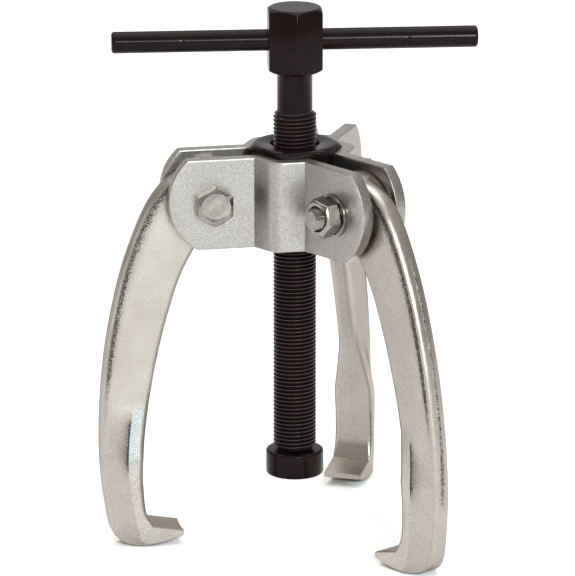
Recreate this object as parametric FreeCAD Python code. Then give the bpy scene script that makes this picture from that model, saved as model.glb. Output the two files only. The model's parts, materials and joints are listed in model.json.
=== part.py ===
import FreeCAD, Part
import math
import os

# Three-armed screw gear puller, in millimetres.
# Origin: centre of the pressure foot's lower face, on the spindle's axis.
# +Z runs up the spindle towards the tommy bar. The left arm lies towards -X.

# ---- driving dimensions -------------------------------------------------

# where the three arms stand around the axis, how far each is swung out, and how far each leans
# sideways within the slack of its pivot
ARM_AZIMUTHS = {"left": 180.0, "right": 300.0, "rear": 60.0}
ARM_SWINGS = {"left": 0.0, "right": 4.0, "rear": 3.8}
ARM_LEANS = {"left": 0.0, "right": 0.0, "rear": -1.0}
PLATE_AZIMUTHS = {"front": 240.0, "right": 0.0, "rear": 120.0}

PIVOT_RADIUS = 32.5          # spindle axis to arm pivot
PIVOT_HEIGHT = 108.0

# spindle, M16 thread
THREAD_RADIUS = 8.0
THREAD_BOTTOM = 9.9
THREAD_TOP = 139.6
THREAD_CHAMFER = 1.0
NECK_RADIUS = 6.55
HEAD_BOTTOM = 154.4
HEAD_TOP = 178.5
HEAD_ACROSS_FLATS = 19.7
HEAD_CHAMFER_RADIUS = 9.15
HEAD_CHAMFER_ANGLE = 32.0
NOSE_RADIUS = 5.0
NOSE_BOTTOM = 4.9
NOSE_GROOVE_RADIUS = 4.1

# tommy bar
BAR_RADIUS = 4.0
BAR_LENGTH = 134.5
BAR_CHAMFER = 0.7
BAR_HEIGHT = 166.2
BAR_AZIMUTH = -7.1
BAR_HOLE_CLEARANCE = 0.08

# pressure foot with its thrust ball and retaining ring
FOOT_RADIUS = 10.75
FOOT_HEIGHT = 9.45
FOOT_CHAMFER = 0.6
FOOT_FLOOR = 2.8
FOOT_BORE_RADIUS = 5.08
BALL_RADIUS = 2.5
BALL_CENTRE = 3.9
BALL_SEAT_CLEARANCE = 0.04
RING_HEIGHT = 7.2
RING_THICKNESS = 1.0
RING_INNER_RADIUS = 4.5
RING_OUTER_RADIUS = 5.5

# centre nut
NUT_ACROSS_FLATS = 31.0
NUT_BOTTOM = 91.0
NUT_TOP = 127.4
NUT_BORE_RADIUS = 8.05
NUT_COUNTERSINK_RADIUS = 9.4
NUT_CHAMFER_ANGLE = 30.0
NUT_CORNER_RADIUS = 17.6     # the six corners are turned off to this radius

# side plates, bent from flat bar
PLATE_HEIGHT = 34.0
PLATE_THICKNESS = 4.8
ARM_GAP_HALF = 5.75          # half the gap between two ears
PLATE_BEND_RADIUS = 6.0      # outside of the middle bend
EAR_TOP_RADIUS = 42.0        # ear end, measured from the spindle axis
EAR_MIDDLE_RADIUS = 49.1
EAR_BOTTOM_RADIUS = 38.3
EAR_HOLE_RADIUS = 4.1

# pivot bolts, M8
BOLT_RADIUS = 4.0
BOLT_HEAD_ACROSS_FLATS = 13.0
BOLT_HEAD_HEIGHT = 5.3
WASHER_RADIUS = 8.0
WASHER_BORE_RADIUS = 4.2
WASHER_THICKNESS = 1.6
LOCK_NUT_HEIGHT = 6.5
LOCK_NUT_BORE_RADIUS = 4.05
BOLT_PROTRUSION = 2.6
BOLT_END_CHAMFER = 0.8
HEX_CHAMFER_ANGLE = 30.0

# arms, drawn in a plane with the pivot at the origin: x outwards, z up
BOSS_RADIUS = 14.0
BOSS_HALF_WIDTH = 5.4
WEB_HALF_WIDTH = 4.0
HOOK_HALF_WIDTH = 7.4
RIB_HALF_WIDTH = 3.4
FLARE_TOP = -78.0            # the inner flange widens between these heights
FLARE_BOTTOM = -99.0
FLANGE_DEPTH = 4.6           # radial depth of the flange's flat side
SLOPE_DEPTH = 8.6            # radial depth of the slope behind it
INNER_FACE = 25.7            # inner face of the straight lower length
ARM_BORE_RADIUS = 4.06
OUTER_EDGE = [(6.6, 12.35), (12.4, 10.0), (18.1, 5.6), (23.4, -1.8), (29.0, -14.5), (34.0, -30.0),
              (38.4, -50.7), (40.8, -70.0), (41.6, -89.0), (40.9, -106.0), (38.8, -121.0)]
HEEL = [(36.0, -128.4), (29.5, -131.3)]
UNDERSIDE = [(24.0, -131.2), (19.6, -130.6), (15.0, -129.2), (11.4, -127.8)]
HOOK_TIP_TOP = (11.1, -125.8)
HOOK_ROOT = (22.5, -123.7)
HOOK_RAMP_TOP = (25.0, -118.5)
INNER_EDGE = [(25.6, -114.0), (26.1, -104.0), (25.4, -92.0), (23.6, -79.5), (21.0, -65.0),
              (17.8, -50.5), (13.8, -36.5), (10.2, -26.8), (4.5, -17.0), (-2.0, -13.86)]
HOOK_TIP_ARC_RADIUS = 43.9   # hollow of the hook's front edge, about the spindle axis

# ---- helpers ------------------------------------------------------------

UP = FreeCAD.Vector(0, 0, 1)
ORIGIN = FreeCAD.Vector(0, 0, 0)


def vector(x, y, z):
    return FreeCAD.Vector(x, y, z)


def export(shape, node):
    """Write one solid to its own STEP file."""
    solid = shape.Solids[0] if len(shape.Solids) == 1 else shape
    solid.exportStep("parts/" + node + ".step")
    print(node, "solids", len(shape.Solids), "volume", round(shape.Volume, 1), "valid", shape.isValid())


def turned_about_axis(shape, degrees):
    """A copy turned about the spindle's axis."""
    copy = shape.copy()
    copy.rotate(ORIGIN, UP, degrees)
    return copy


def hex_prism(across_flats, bottom, height, corner_degrees=0.0):
    """An upright hexagonal prism on the Z axis with one corner at the given azimuth."""
    corner_radius = across_flats / 2 / math.cos(math.radians(30))
    corners = []
    for step in range(7):
        angle = math.radians(corner_degrees + 60 * step)
        corners.append(vector(corner_radius * math.cos(angle), corner_radius * math.sin(angle), bottom))
    face = Part.Face(Part.makePolygon(corners))
    return face.extrude(vector(0, 0, height))


def turned_profile(points):
    """A solid turned about Z from a closed outline of (radius, z) points."""
    outline = [vector(r, 0, z) for r, z in points]
    outline.append(outline[0])
    return Part.Face(Part.makePolygon(outline)).revolve(ORIGIN, UP, 360)


def chamfered_ends(bottom, height, flat_radius, angle, far_radius, both_ends):
    """The turned body that a hexagon is intersected with to chamfer its corners."""
    drop = (far_radius - flat_radius) * math.tan(math.radians(angle))
    outline = [(0, bottom), (far_radius, bottom)]
    if both_ends:
        outline = [(0, bottom), (flat_radius, bottom), (far_radius, bottom + drop)]
    outline += [(far_radius, bottom + height - drop), (flat_radius, bottom + height), (0, bottom + height)]
    return turned_profile(outline)


def chamfered_hexagon(across_flats, bottom, height, flat_radius, angle, both_ends=False, corner_degrees=0.0):
    prism = hex_prism(across_flats, bottom, height, corner_degrees)
    far_radius = across_flats * 0.62
    return prism.common(chamfered_ends(bottom, height, flat_radius, angle, far_radius, both_ends))


# ---- spindle group ------------------------------------------------------

def bar_cylinder(radius, length):
    """A cylinder centred on the spindle axis and lying along the tommy bar."""
    azimuth = math.radians(BAR_AZIMUTH)
    direction = vector(math.cos(azimuth), math.sin(azimuth), 0)
    start = vector(0, 0, BAR_HEIGHT) - direction * (length / 2)
    return Part.makeCylinder(radius, length, start, direction)


def ball(radius):
    return Part.makeSphere(radius, vector(0, 0, BALL_CENTRE))


def make_spindle():
    head_height = HEAD_TOP - HEAD_BOTTOM
    head = chamfered_hexagon(HEAD_ACROSS_FLATS, HEAD_BOTTOM, head_height, HEAD_CHAMFER_RADIUS,
                             HEAD_CHAMFER_ANGLE, True, BAR_AZIMUTH + 30)
    groove_low = RING_HEIGHT - RING_THICKNESS / 2 - 0.15
    groove_high = RING_HEIGHT + RING_THICKNESS / 2 + 0.15
    shaft = turned_profile([
        (0, NOSE_BOTTOM), (NOSE_RADIUS - 0.4, NOSE_BOTTOM), (NOSE_RADIUS, NOSE_BOTTOM + 0.4),
        (NOSE_RADIUS, groove_low), (NOSE_GROOVE_RADIUS, groove_low), (NOSE_GROOVE_RADIUS, groove_high),
        (NOSE_RADIUS, groove_high), (NOSE_RADIUS, THREAD_BOTTOM),
        (THREAD_RADIUS - THREAD_CHAMFER, THREAD_BOTTOM), (THREAD_RADIUS, THREAD_BOTTOM + THREAD_CHAMFER),
        (THREAD_RADIUS, THREAD_TOP - THREAD_CHAMFER), (NECK_RADIUS, THREAD_TOP),
        (NECK_RADIUS, HEAD_BOTTOM + 0.5), (0, HEAD_BOTTOM + 0.5)])
    spindle = shaft.fuse(head).removeSplitter()
    spindle = spindle.cut(bar_cylinder(BAR_RADIUS + BAR_HOLE_CLEARANCE, 2 * HEAD_ACROSS_FLATS))
    return spindle.cut(ball(BALL_RADIUS + BALL_SEAT_CLEARANCE))


def make_tommy_bar():
    bar = bar_cylinder(BAR_RADIUS, BAR_LENGTH)
    ends = [edge for edge in bar.Edges if abs(edge.Length - 2 * math.pi * BAR_RADIUS) < 0.01]
    return bar.makeChamfer(BAR_CHAMFER, ends)


def make_pressure_foot():
    groove_low = RING_HEIGHT - RING_THICKNESS / 2
    groove_high = RING_HEIGHT + RING_THICKNESS / 2
    foot = turned_profile([
        (0, 0), (FOOT_RADIUS - FOOT_CHAMFER, 0), (FOOT_RADIUS, FOOT_CHAMFER),
        (FOOT_RADIUS, FOOT_HEIGHT - FOOT_CHAMFER), (FOOT_RADIUS - FOOT_CHAMFER, FOOT_HEIGHT),
        (FOOT_BORE_RADIUS, FOOT_HEIGHT), (FOOT_BORE_RADIUS, groove_high), (RING_OUTER_RADIUS, groove_high),
        (RING_OUTER_RADIUS, groove_low), (FOOT_BORE_RADIUS, groove_low), (FOOT_BORE_RADIUS, FOOT_FLOOR),
        (0, FOOT_FLOOR)])
    return foot.cut(ball(BALL_RADIUS))


def make_retaining_ring():
    low = RING_HEIGHT - RING_THICKNESS / 2
    outer = Part.makeCylinder(RING_OUTER_RADIUS, RING_THICKNESS, vector(0, 0, low))
    inner = Part.makeCylinder(RING_INNER_RADIUS, RING_THICKNESS, vector(0, 0, low))
    slot = Part.makeBox(RING_OUTER_RADIUS, 1.6, RING_THICKNESS, vector(0, -0.8, low))
    return outer.cut(inner).cut(slot)


# ---- yoke: centre nut, side plates and pivot bolts ------------------------

def make_centre_nut():
    height = NUT_TOP - NUT_BOTTOM
    flat_radius = NUT_ACROSS_FLATS / 2 * 0.95
    nut = chamfered_hexagon(NUT_ACROSS_FLATS, NUT_BOTTOM, height, flat_radius, NUT_CHAMFER_ANGLE)
    nut = nut.common(Part.makeCylinder(NUT_CORNER_RADIUS, height, vector(0, 0, NUT_BOTTOM)))
    bore = Part.makeCylinder(NUT_BORE_RADIUS, height, vector(0, 0, NUT_BOTTOM))
    depth = NUT_COUNTERSINK_RADIUS - NUT_BORE_RADIUS
    countersink = Part.makeCone(NUT_BORE_RADIUS, NUT_COUNTERSINK_RADIUS, depth, vector(0, 0, NUT_TOP - depth))
    return nut.cut(bore).cut(countersink)


def meet(normal_a, distance_a, normal_b, distance_b):
    """The point where two plan lines meet, each given by its unit normal's azimuth and its distance."""
    ax, ay = math.cos(math.radians(normal_a)), math.sin(math.radians(normal_a))
    bx, by = math.cos(math.radians(normal_b)), math.sin(math.radians(normal_b))
    determinant = ax * by - ay * bx
    return ((distance_a * by - distance_b * ay) / determinant,
            (ax * distance_b - bx * distance_a) / determinant)


def plate_plan_half(offset):
    """Plan points of the plate's skin at an offset from its inner skin: middle corner, bend, ear end."""
    apothem = NUT_ACROSS_FLATS / 2 + offset
    across = ARM_GAP_HALF + offset
    corner = (apothem / math.cos(math.radians(30)), 0.0)
    bend = meet(30, apothem, -30, across)
    reach = EAR_MIDDLE_RADIUS + 3
    end = (reach * 0.5 + across * math.cos(math.radians(30)), reach * math.cos(math.radians(30)) - across * 0.5)
    return corner, bend, end


def ear_cutter():
    """What lies beyond an ear's rounded end, for an arm at azimuth 0 whose ear is on the -Y side."""
    half = PLATE_HEIGHT / 2
    depth = ARM_GAP_HALF + PLATE_THICKNESS + 2
    top = vector(EAR_TOP_RADIUS, 0, half)
    middle = vector(EAR_MIDDLE_RADIUS, 0, 0)
    bottom = vector(EAR_BOTTOM_RADIUS, 0, -half)
    far = EAR_MIDDLE_RADIUS + 15
    arc = Part.Arc(top, middle, bottom).toShape()
    rest = Part.makePolygon([bottom, vector(EAR_BOTTOM_RADIUS, 0, -half - 1), vector(far, 0, -half - 1),
                             vector(far, 0, half + 1), vector(EAR_TOP_RADIUS, 0, half + 1), top])
    face = Part.Face(Part.Wire([arc] + rest.Edges))
    cutter = face.extrude(vector(0, -depth, 0))
    cutter.translate(vector(0, 0, PIVOT_HEIGHT))
    return cutter


def pivot_cylinder(radius, start, length):
    """A cylinder along the pivot axis of an arm at azimuth 0."""
    return Part.makeCylinder(radius, length, vector(PIVOT_RADIUS, start, PIVOT_HEIGHT), vector(0, 1, 0))


def make_plate():
    """One side plate whose middle bend points along +X, with its ears at the arms at -60 and +60 degrees."""
    low = PIVOT_HEIGHT - PLATE_HEIGHT / 2
    plan = []
    for offset, order in ((PLATE_THICKNESS, 1), (0.0, -1)):
        corner, bend, end = plate_plan_half(offset)
        skin = [(end[0], -end[1]), (bend[0], -bend[1]), corner, bend, end]
        plan += skin[::order]
    outline = [vector(x, y, low) for x, y in plan]
    outline.append(outline[0])
    plate = Part.Face(Part.makePolygon(outline)).extrude(vector(0, 0, PLATE_HEIGHT))
    outer_corner = (NUT_ACROSS_FLATS / 2 + PLATE_THICKNESS) / math.cos(math.radians(30))
    bend_edge = [edge for edge in plate.Edges
                 if abs(edge.CenterOfMass.x - outer_corner) < 0.01 and abs(edge.CenterOfMass.y) < 0.01]
    plate = plate.makeFillet(PLATE_BEND_RADIUS, bend_edge)
    holes = pivot_cylinder(EAR_HOLE_RADIUS, -2 * EAR_MIDDLE_RADIUS, 4 * EAR_MIDDLE_RADIUS)
    upper_side = ear_cutter()
    lower_side = upper_side.mirror(ORIGIN, vector(0, 1, 0))
    plate = plate.cut(turned_about_axis(upper_side, 60)).cut(turned_about_axis(lower_side, -60))
    near_arm = Part.makeBox(80, 60, 60, vector(20, -30, PIVOT_HEIGHT - 30))
    hole = holes.common(near_arm)
    return plate.cut(turned_about_axis(hole, 60)).cut(turned_about_axis(hole, -60))


def fastener_along_pivot(shape):
    """Lay an upright turned or hexagonal shape along the pivot axis, its +Z along +Y."""
    laid = shape.copy()
    laid.rotate(ORIGIN, vector(1, 0, 0), -90)
    laid.translate(vector(PIVOT_RADIUS, 0, PIVOT_HEIGHT))
    return laid


def make_pivot_bolt():
    seat = ARM_GAP_HALF + PLATE_THICKNESS
    end = -(seat + WASHER_THICKNESS + LOCK_NUT_HEIGHT + BOLT_PROTRUSION)
    head = chamfered_hexagon(BOLT_HEAD_ACROSS_FLATS, seat, BOLT_HEAD_HEIGHT, BOLT_HEAD_ACROSS_FLATS * 0.47,
                             HEX_CHAMFER_ANGLE, False, 30)
    shank = turned_profile([(0, end), (BOLT_RADIUS - BOLT_END_CHAMFER, end), (BOLT_RADIUS, end + BOLT_END_CHAMFER),
                            (BOLT_RADIUS, seat + 0.5), (0, seat + 0.5)])
    return fastener_along_pivot(shank.fuse(head).removeSplitter())


def make_washer():
    seat = -(ARM_GAP_HALF + PLATE_THICKNESS + WASHER_THICKNESS)
    disc = Part.makeCylinder(WASHER_RADIUS, WASHER_THICKNESS, vector(0, 0, seat))
    return fastener_along_pivot(disc.cut(Part.makeCylinder(WASHER_BORE_RADIUS, WASHER_THICKNESS, vector(0, 0, seat))))


def make_lock_nut():
    top = -(ARM_GAP_HALF + PLATE_THICKNESS + WASHER_THICKNESS)
    bottom = top - LOCK_NUT_HEIGHT
    nut = chamfered_hexagon(BOLT_HEAD_ACROSS_FLATS, bottom, LOCK_NUT_HEIGHT, BOLT_HEAD_ACROSS_FLATS * 0.47,
                            HEX_CHAMFER_ANGLE, True, 12)
    return fastener_along_pivot(nut.cut(Part.makeCylinder(LOCK_NUT_BORE_RADIUS, LOCK_NUT_HEIGHT,
                                                          vector(0, 0, bottom))))


# ---- arms -----------------------------------------------------------------

def smooth_edge(points):
    """A smooth curve through (x, z) points in the arm's plane."""
    curve = Part.BSplineCurve()
    curve.interpolate([vector(x, 0, z) for x, z in points])
    return curve.toShape()


def straight_edges(points):
    return Part.makePolygon([vector(x, 0, z) for x, z in points]).Edges


def arm_outline():
    """The arm's closed side outline as a face at y = 0, without the boss."""
    edges = [smooth_edge(OUTER_EDGE)]
    heel_middle = vector(HEEL[0][0], 0, HEEL[0][1])
    heel_end = vector(HEEL[1][0], 0, HEEL[1][1])
    edges.append(Part.Arc(vector(OUTER_EDGE[-1][0], 0, OUTER_EDGE[-1][1]), heel_middle, heel_end).toShape())
    edges += straight_edges([HEEL[1]] + UNDERSIDE + [HOOK_TIP_TOP, HOOK_ROOT, HOOK_RAMP_TOP, INNER_EDGE[0]])
    edges.append(smooth_edge(INNER_EDGE))
    edges += straight_edges([INNER_EDGE[-1], OUTER_EDGE[0]])
    return Part.Face(Part.Wire(Part.sortEdges(edges)[0]))


def width_envelope():
    """How wide the arm is at each height, as a prism along X: the web, the flare and the hook."""
    top = BOSS_RADIUS
    bottom = -140.0
    half = [(WEB_HALF_WIDTH, top), (WEB_HALF_WIDTH, FLARE_TOP), (HOOK_HALF_WIDTH, FLARE_BOTTOM),
            (HOOK_HALF_WIDTH, bottom)]
    outline = [vector(0, y, z) for y, z in half]
    outline += [vector(0, -y, z) for y, z in reversed(half)]
    outline.append(outline[0])
    prism = Part.Face(Part.makePolygon(outline)).extrude(vector(90, 0, 0))
    prism.translate(vector(-25, 0, 0))
    return prism


def back_slope(side):
    """The wedge that is missing behind the flange on one side, down to the outer rib."""
    flange_back = INNER_FACE + FLANGE_DEPTH
    slope_end = flange_back + SLOPE_DEPTH
    outline = [(flange_back, HOOK_HALF_WIDTH), (slope_end, RIB_HALF_WIDTH), (slope_end + 20, RIB_HALF_WIDTH),
               (slope_end + 20, HOOK_HALF_WIDTH + 1), (flange_back, HOOK_HALF_WIDTH + 1)]
    corners = [vector(x, side * y, -140) for x, y in outline]
    corners.append(corners[0])
    return Part.Face(Part.makePolygon(corners)).extrude(vector(0, 0, 140 + FLARE_TOP))


def make_arm(swing, lean):
    """An arm at azimuth 0, leaning sideways and then swung outwards by the given angles."""
    blank = arm_outline().extrude(vector(0, 2 * HOOK_HALF_WIDTH + 2, 0))
    blank.translate(vector(0, -HOOK_HALF_WIDTH - 1, 0))
    arm = blank.common(width_envelope())
    arm = arm.cut(back_slope(1)).cut(back_slope(-1))
    boss = Part.makeCylinder(BOSS_RADIUS, 2 * BOSS_HALF_WIDTH, vector(0, -BOSS_HALF_WIDTH, 0), vector(0, 1, 0))
    arm = arm.fuse(boss)
    tip_hollow = Part.makeCylinder(HOOK_TIP_ARC_RADIUS, 40, vector(-PIVOT_RADIUS, 0, -150))
    arm = arm.cut(tip_hollow)
    arm.rotate(ORIGIN, vector(1, 0, 0), lean)
    arm = arm.cut(Part.makeCylinder(ARM_BORE_RADIUS, 40, vector(0, -20, 0), vector(0, 1, 0)))
    arm.rotate(ORIGIN, vector(0, 1, 0), -swing)
    arm.translate(vector(PIVOT_RADIUS, 0, PIVOT_HEIGHT))
    return arm


# ---- build ----------------------------------------------------------------

def build():
    os.makedirs("parts", exist_ok=True)
    export(make_spindle(), "spindle")
    export(make_tommy_bar(), "tommy_bar")
    export(make_pressure_foot(), "pressure_foot")
    export(ball(BALL_RADIUS), "thrust_ball")
    export(make_retaining_ring(), "retaining_ring")
    export(make_centre_nut(), "centre_nut")
    for side, azimuth in PLATE_AZIMUTHS.items():
        export(turned_about_axis(make_plate(), azimuth), "plate_" + side)
    for side, azimuth in ARM_AZIMUTHS.items():
        export(turned_about_axis(make_arm(ARM_SWINGS[side], ARM_LEANS[side]), azimuth), "arm_" + side)
        export(turned_about_axis(make_pivot_bolt(), azimuth), "pivot_bolt_" + side)
        export(turned_about_axis(make_washer(), azimuth), "washer_" + side)
        export(turned_about_axis(make_lock_nut(), azimuth), "lock_nut_" + side)


build()
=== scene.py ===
import json
import math

import bmesh
import bpy
import numpy as np
from mathutils import Matrix, Vector

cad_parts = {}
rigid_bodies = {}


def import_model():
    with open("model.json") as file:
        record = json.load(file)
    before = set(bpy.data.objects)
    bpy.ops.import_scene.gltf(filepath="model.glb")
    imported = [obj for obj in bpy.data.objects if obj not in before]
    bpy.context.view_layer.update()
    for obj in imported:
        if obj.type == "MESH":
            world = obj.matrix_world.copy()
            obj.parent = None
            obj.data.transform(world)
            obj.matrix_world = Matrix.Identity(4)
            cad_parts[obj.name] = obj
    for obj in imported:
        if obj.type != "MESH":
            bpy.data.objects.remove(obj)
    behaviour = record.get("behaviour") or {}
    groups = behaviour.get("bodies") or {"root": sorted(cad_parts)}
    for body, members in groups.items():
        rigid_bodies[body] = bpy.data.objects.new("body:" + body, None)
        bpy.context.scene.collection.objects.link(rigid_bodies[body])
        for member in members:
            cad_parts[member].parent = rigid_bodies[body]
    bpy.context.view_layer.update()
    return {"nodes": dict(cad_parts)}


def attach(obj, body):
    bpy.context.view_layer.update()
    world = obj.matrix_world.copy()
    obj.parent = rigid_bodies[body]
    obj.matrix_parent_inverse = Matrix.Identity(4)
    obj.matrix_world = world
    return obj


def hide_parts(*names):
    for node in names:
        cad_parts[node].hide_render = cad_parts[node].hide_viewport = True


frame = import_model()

# Three-armed gear puller. Lengths below are millimetres in the CAD's frame; meshes are made in metres.

MM = 0.001
OVERLAP = 0.3                        # how far joined parts of one piece run into each other
SMOOTH_ANGLE = 32.0                  # edges sharper than this many degrees stay crisp

# ---- dimensions shared with the CAD ----------------------------------------

# the last number of each arm sets how bright the patch on its flange is
ARMS = {
    "left": {"azimuth": 180.0, "swing": 0.0, "lean": 0.0, "patch_brightness": 1.0},
    "right": {"azimuth": 300.0, "swing": 4.0, "lean": 0.0, "patch_brightness": 0.15},
    "rear": {"azimuth": 60.0, "swing": 3.8, "lean": -1.0, "patch_brightness": 0.2},
}
PLATES = {"front": 240.0, "right": 0.0, "rear": 120.0}

PIVOT_RADIUS = 32.5
PIVOT_HEIGHT = 108.0

THREAD_RADIUS = 8.0
THREAD_PITCH = 1.5
THREAD_DEPTH = 0.92
THREAD_BOTTOM = 9.9
THREAD_TOP = 139.6
THREAD_END_SLOPE = 1.15              # rise of a thread's end chamfer, radius per height
# one turn of a thread as (part of the pitch, part of the depth), from crest over root to the next crest
THREAD_SHAPE = [(-0.07, 0.02), (0.0, 0.0), (0.07, 0.02), (0.13, 0.09), (0.37, 0.88), (0.44, 1.0), (0.56, 1.0),
                (0.63, 0.88), (0.87, 0.09)]
CREST_NARROWNESS = 25                # how fast the worn crest's mark ends down the flank
NECK_RADIUS = 6.55
NECK_FLARE = 0.8
HEAD_BOTTOM = 154.4
HEAD_TOP = 178.5
HEAD_ACROSS_FLATS = 19.7
HEAD_CHAMFER_RADIUS = 9.15
HEAD_CHAMFER_ANGLE = 32.0
NOSE_RADIUS = 5.0
NOSE_BOTTOM = 4.9
NOSE_CHAMFER = 0.4
NOSE_GROOVE_RADIUS = 4.1
RING_SIDE_CLEARANCE = 0.15

BAR_RADIUS = 4.0
BAR_LENGTH = 134.5
BAR_HEIGHT = 166.2
BAR_AZIMUTH = -7.1
BAR_CHAMFER = 0.7
BAR_HOLE_CLEARANCE = 0.08
BAR_MARK_PLACE = 41.5                # ring marks, from the bar's middle
BAR_MARK_DEPTH = 0.05

FOOT_RADIUS = 10.75
FOOT_HEIGHT = 9.45
FOOT_FLOOR = 2.8
FOOT_BORE_RADIUS = 5.08
FOOT_CHAMFER = 0.6
FOOT_LIP = 0.25
RING_GROOVE = (6.7, 7.7, 5.5)        # bottom, top, radius

NUT_ACROSS_FLATS = 31.0
NUT_BOTTOM = 91.0
NUT_TOP = 127.4
NUT_BORE_RADIUS = 8.05
NUT_COUNTERSINK_RADIUS = 9.4
NUT_CORNER_RADIUS = 17.6

PLATE_HEIGHT = 34.0
PLATE_THICKNESS = 4.8
ARM_GAP_HALF = 5.75
PLATE_BEND_RADIUS = 6.0
PLATE_EDGE = 0.5                     # rounding of the plates' edges
EAR_RADII = (38.3, 49.1, 42.0)       # bottom, middle, top

BOLT_ACROSS_FLATS = 13.0
BOLT_HEAD_HEIGHT = 5.3
BOLT_RADIUS = 4.0
BOLT_PITCH = 1.25
BOLT_PROTRUSION = 2.6
BOLT_THREAD_DEPTH = 0.6
BOLT_THREADED = 6.0
BOLT_END_RADIUS = 3.1
BOLT_CHAMFER_RADIUS = 0.425 * BOLT_ACROSS_FLATS
BOLT_DISH_RADIUS = 0.38 * BOLT_ACROSS_FLATS
WASHER_RADIUS = 8.0
WASHER_BORE_RADIUS = 4.2
WASHER_THICKNESS = 1.6
LOCK_NUT_HEIGHT = 6.5
LOCK_NUT_CHAMFER_RADIUS = 0.46 * BOLT_ACROSS_FLATS
LOCK_NUT_BORE_RADIUS = 4.05
LOCK_NUT_MOUTH = 0.85

BOSS_RADIUS = 14.0
BOSS_HALF_WIDTH = 5.4
ARM_BORE_RADIUS = 4.06
HOOK_TIP_ARC_RADIUS = 43.9
WEB_HALF_WIDTH = 4.0
HOOK_HALF_WIDTH = 7.4
FLANGE_DEPTH = 4.7
SLOPE_DEPTH = 8.6                    # how far the slope from flange to rib reaches
CROWN = 0.08                         # rise of the outer face's middle

OUTER_EDGE = [(6.6, 12.35), (12.4, 10.0), (18.1, 5.6), (23.4, -1.8), (29.0, -14.5), (34.0, -30.0),
              (38.4, -50.7), (40.8, -70.0), (41.6, -89.0), (40.9, -106.0), (38.8, -121.0)]
INNER_EDGE = [(-2.0, -13.86), (4.5, -17.0), (10.2, -26.8), (13.8, -36.5), (17.8, -50.5), (21.0, -65.0),
              (23.6, -79.5), (25.4, -92.0), (26.1, -104.0), (25.6, -114.0)]

# ---- mesh helpers -----------------------------------------------------------

def new_object(name, vertices, faces, smooth_angle=SMOOTH_ANGLE, marks=None):
    """A mesh object from vertices in millimetres. marks holds one number per vertex for each attribute."""
    mesh = bpy.data.meshes.new(name)
    mesh.from_pydata([tuple(c * MM for c in v) for v in vertices], [], faces)
    for label, values in (marks or {}).items():
        mesh.attributes.new(label, "FLOAT", "POINT").data.foreach_set("value", values)
    obj = bpy.data.objects.new(name, mesh)
    bpy.context.scene.collection.objects.link(obj)
    tidy_mesh(mesh, smooth_angle)
    return obj


def tidy_mesh(mesh, smooth_angle):
    """Merge doubles, point the faces outwards and mark the edges that stay crisp."""
    bm = bmesh.new()
    bm.from_mesh(mesh)
    bmesh.ops.remove_doubles(bm, verts=bm.verts, dist=1e-6)
    bmesh.ops.dissolve_degenerate(bm, edges=bm.edges, dist=1e-7)
    bmesh.ops.recalc_face_normals(bm, faces=bm.faces)
    limit = math.radians(smooth_angle)
    for face in bm.faces:
        face.smooth = True
    for edge in bm.edges:
        edge.smooth = len(edge.link_faces) == 2 and edge.calc_face_angle(0.0) < limit
    bm.to_mesh(mesh)
    bm.free()


def grid_faces(rows, columns, wrap=True):
    """Quads between rows of points; wrap joins the last column to the first."""
    faces = []
    last = columns if wrap else columns - 1
    for i in range(rows - 1):
        for j in range(last):
            a = i * columns + j
            b = i * columns + (j + 1) % columns
            faces.append((a, b, b + columns, a + columns))
    return faces


def stack(rings, angles):
    """Vertices and faces of rings around Z. Each ring is (radii, heights), single numbers or one per angle.
    A ring of radius 0 closes the surface on the axis, once the doubles are merged."""
    vertices = []
    count = len(angles)
    for radii, heights in rings:
        radii = np.broadcast_to(np.asarray(radii, float), (count,))
        heights = np.broadcast_to(np.asarray(heights, float), (count,))
        for angle, r, z in zip(angles, radii, heights):
            vertices.append((r * math.cos(angle), r * math.sin(angle), z))
    return vertices, grid_faces(len(rings), count)


def round_angles(count):
    """Evenly spaced angles of a full turn."""
    return [2 * math.pi * i / count for i in range(count)]


def rounded(profile, radius):
    """Round the marked corners of an (r, z) profile. A point is (r, z) or (r, z, radius factor)."""
    steps = 3
    out = []
    for i, point in enumerate(profile):
        size = radius * (point[2] if len(point) > 2 else 0)
        p = Vector(point[:2])
        if size == 0 or i == 0 or i == len(profile) - 1:
            out.append(tuple(p))
            continue
        before = Vector(profile[i - 1][:2]) - p
        after = Vector(profile[i + 1][:2]) - p
        reach = min(size, before.length * 0.45, after.length * 0.45)
        a = p + before.normalized() * reach
        b = p + after.normalized() * reach
        for k in range(steps + 1):
            t = k / steps
            out.append(tuple(a * (1 - t) ** 2 + p * 2 * t * (1 - t) + b * t ** 2))
    return out


def turned(name, profile, edge_radius, segments, matrix=None):
    """A turned piece from an (r, z, rounding) profile that starts and ends on one point or on the axis."""
    vertices, faces = stack(rounded(profile, edge_radius), round_angles(segments))
    obj = new_object(name, vertices, faces)
    if matrix is not None:
        obj.data.transform(matrix)
    return obj


def hexagon(across_flats, corner_round, corner_azimuth, limit=None):
    """Angles and radii of a hexagon with slightly rounded corners; limit turns the corners off."""
    flat_steps, corner_steps = 8, 4
    apothem = across_flats / 2
    tangent = math.atan((apothem - corner_round) * math.tan(math.pi / 6) / apothem)
    centre = (apothem - corner_round) / math.cos(math.pi / 6)
    angles, radii = [], []
    for flat in range(6):
        middle = math.radians(corner_azimuth) + math.pi / 6 + flat * math.pi / 3
        for k in range(flat_steps + 1):
            a = -tangent + 2 * tangent * k / flat_steps
            angles.append(middle + a)
            radii.append(apothem / math.cos(a))
        corner = middle + math.pi / 6
        span = math.pi / 6 - tangent
        for k in range(1, corner_steps * 2):
            b = -span + span * k / corner_steps
            angles.append(corner + b)
            reach = math.sqrt(max(corner_round ** 2 - (centre * math.sin(b)) ** 2, 0))
            radii.append(centre * math.cos(b) + reach)
    radii = np.array(radii)
    if limit:
        radii = np.minimum(radii, limit)
    return angles, radii


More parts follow.
